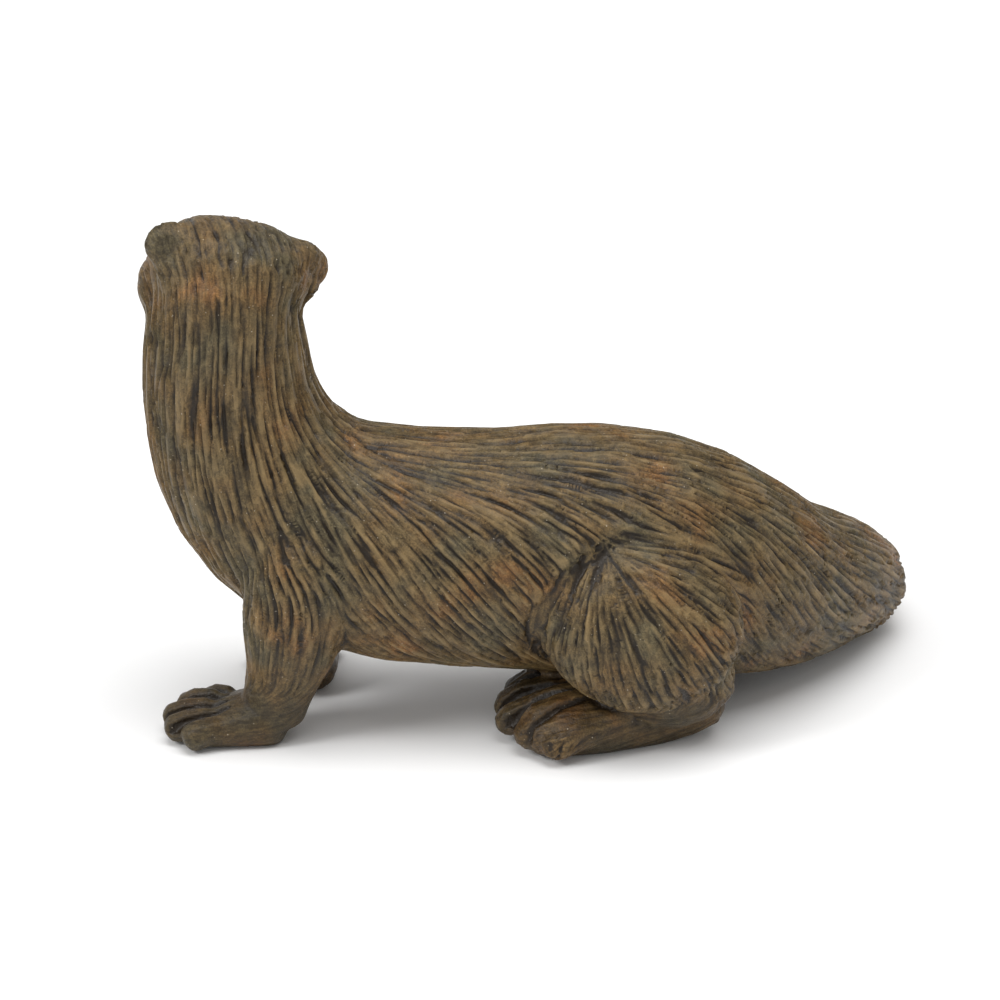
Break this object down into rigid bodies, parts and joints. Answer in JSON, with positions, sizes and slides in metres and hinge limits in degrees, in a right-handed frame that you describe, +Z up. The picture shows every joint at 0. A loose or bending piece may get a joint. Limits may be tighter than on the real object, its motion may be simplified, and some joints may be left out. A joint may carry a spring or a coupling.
{
  "type": "otter figurine",
  "caption": "Small moulded vinyl figurine of a river otter, head raised and turned back over its right shoulder, tail curled on the ground behind it.",
  "frame": {"origin": "on the floor, under the middle of the figure's bounding box", "axes": "+Z up, +X from the head end towards the tail end, +Y towards the otter's right side"},
  "size_m": [0.0988, 0.064, 0.0674],
  "materials": {
    "painted_vinyl": "brown hand-painted satin vinyl with a darker wash in the sculpted hair",
    "nose_paint": "near-black satin paint",
    "eye_paint": "glossy black paint"
  },
  "bodies": {
    "root": {"head": "painted_vinyl", "neck": "painted_vinyl", "trunk": "painted_vinyl", "tail_base": "painted_vinyl", "tail_tip": "painted_vinyl", "foreleg_left": "painted_vinyl", "foreleg_right": "painted_vinyl", "hindleg_left": "painted_vinyl", "hindleg_right": "painted_vinyl", "ear_left": "painted_vinyl", "ear_right": "painted_vinyl", "nose": "nose_paint", "eye_left": "eye_paint", "eye_right": "eye_paint"}
  },
  "joints": []
}
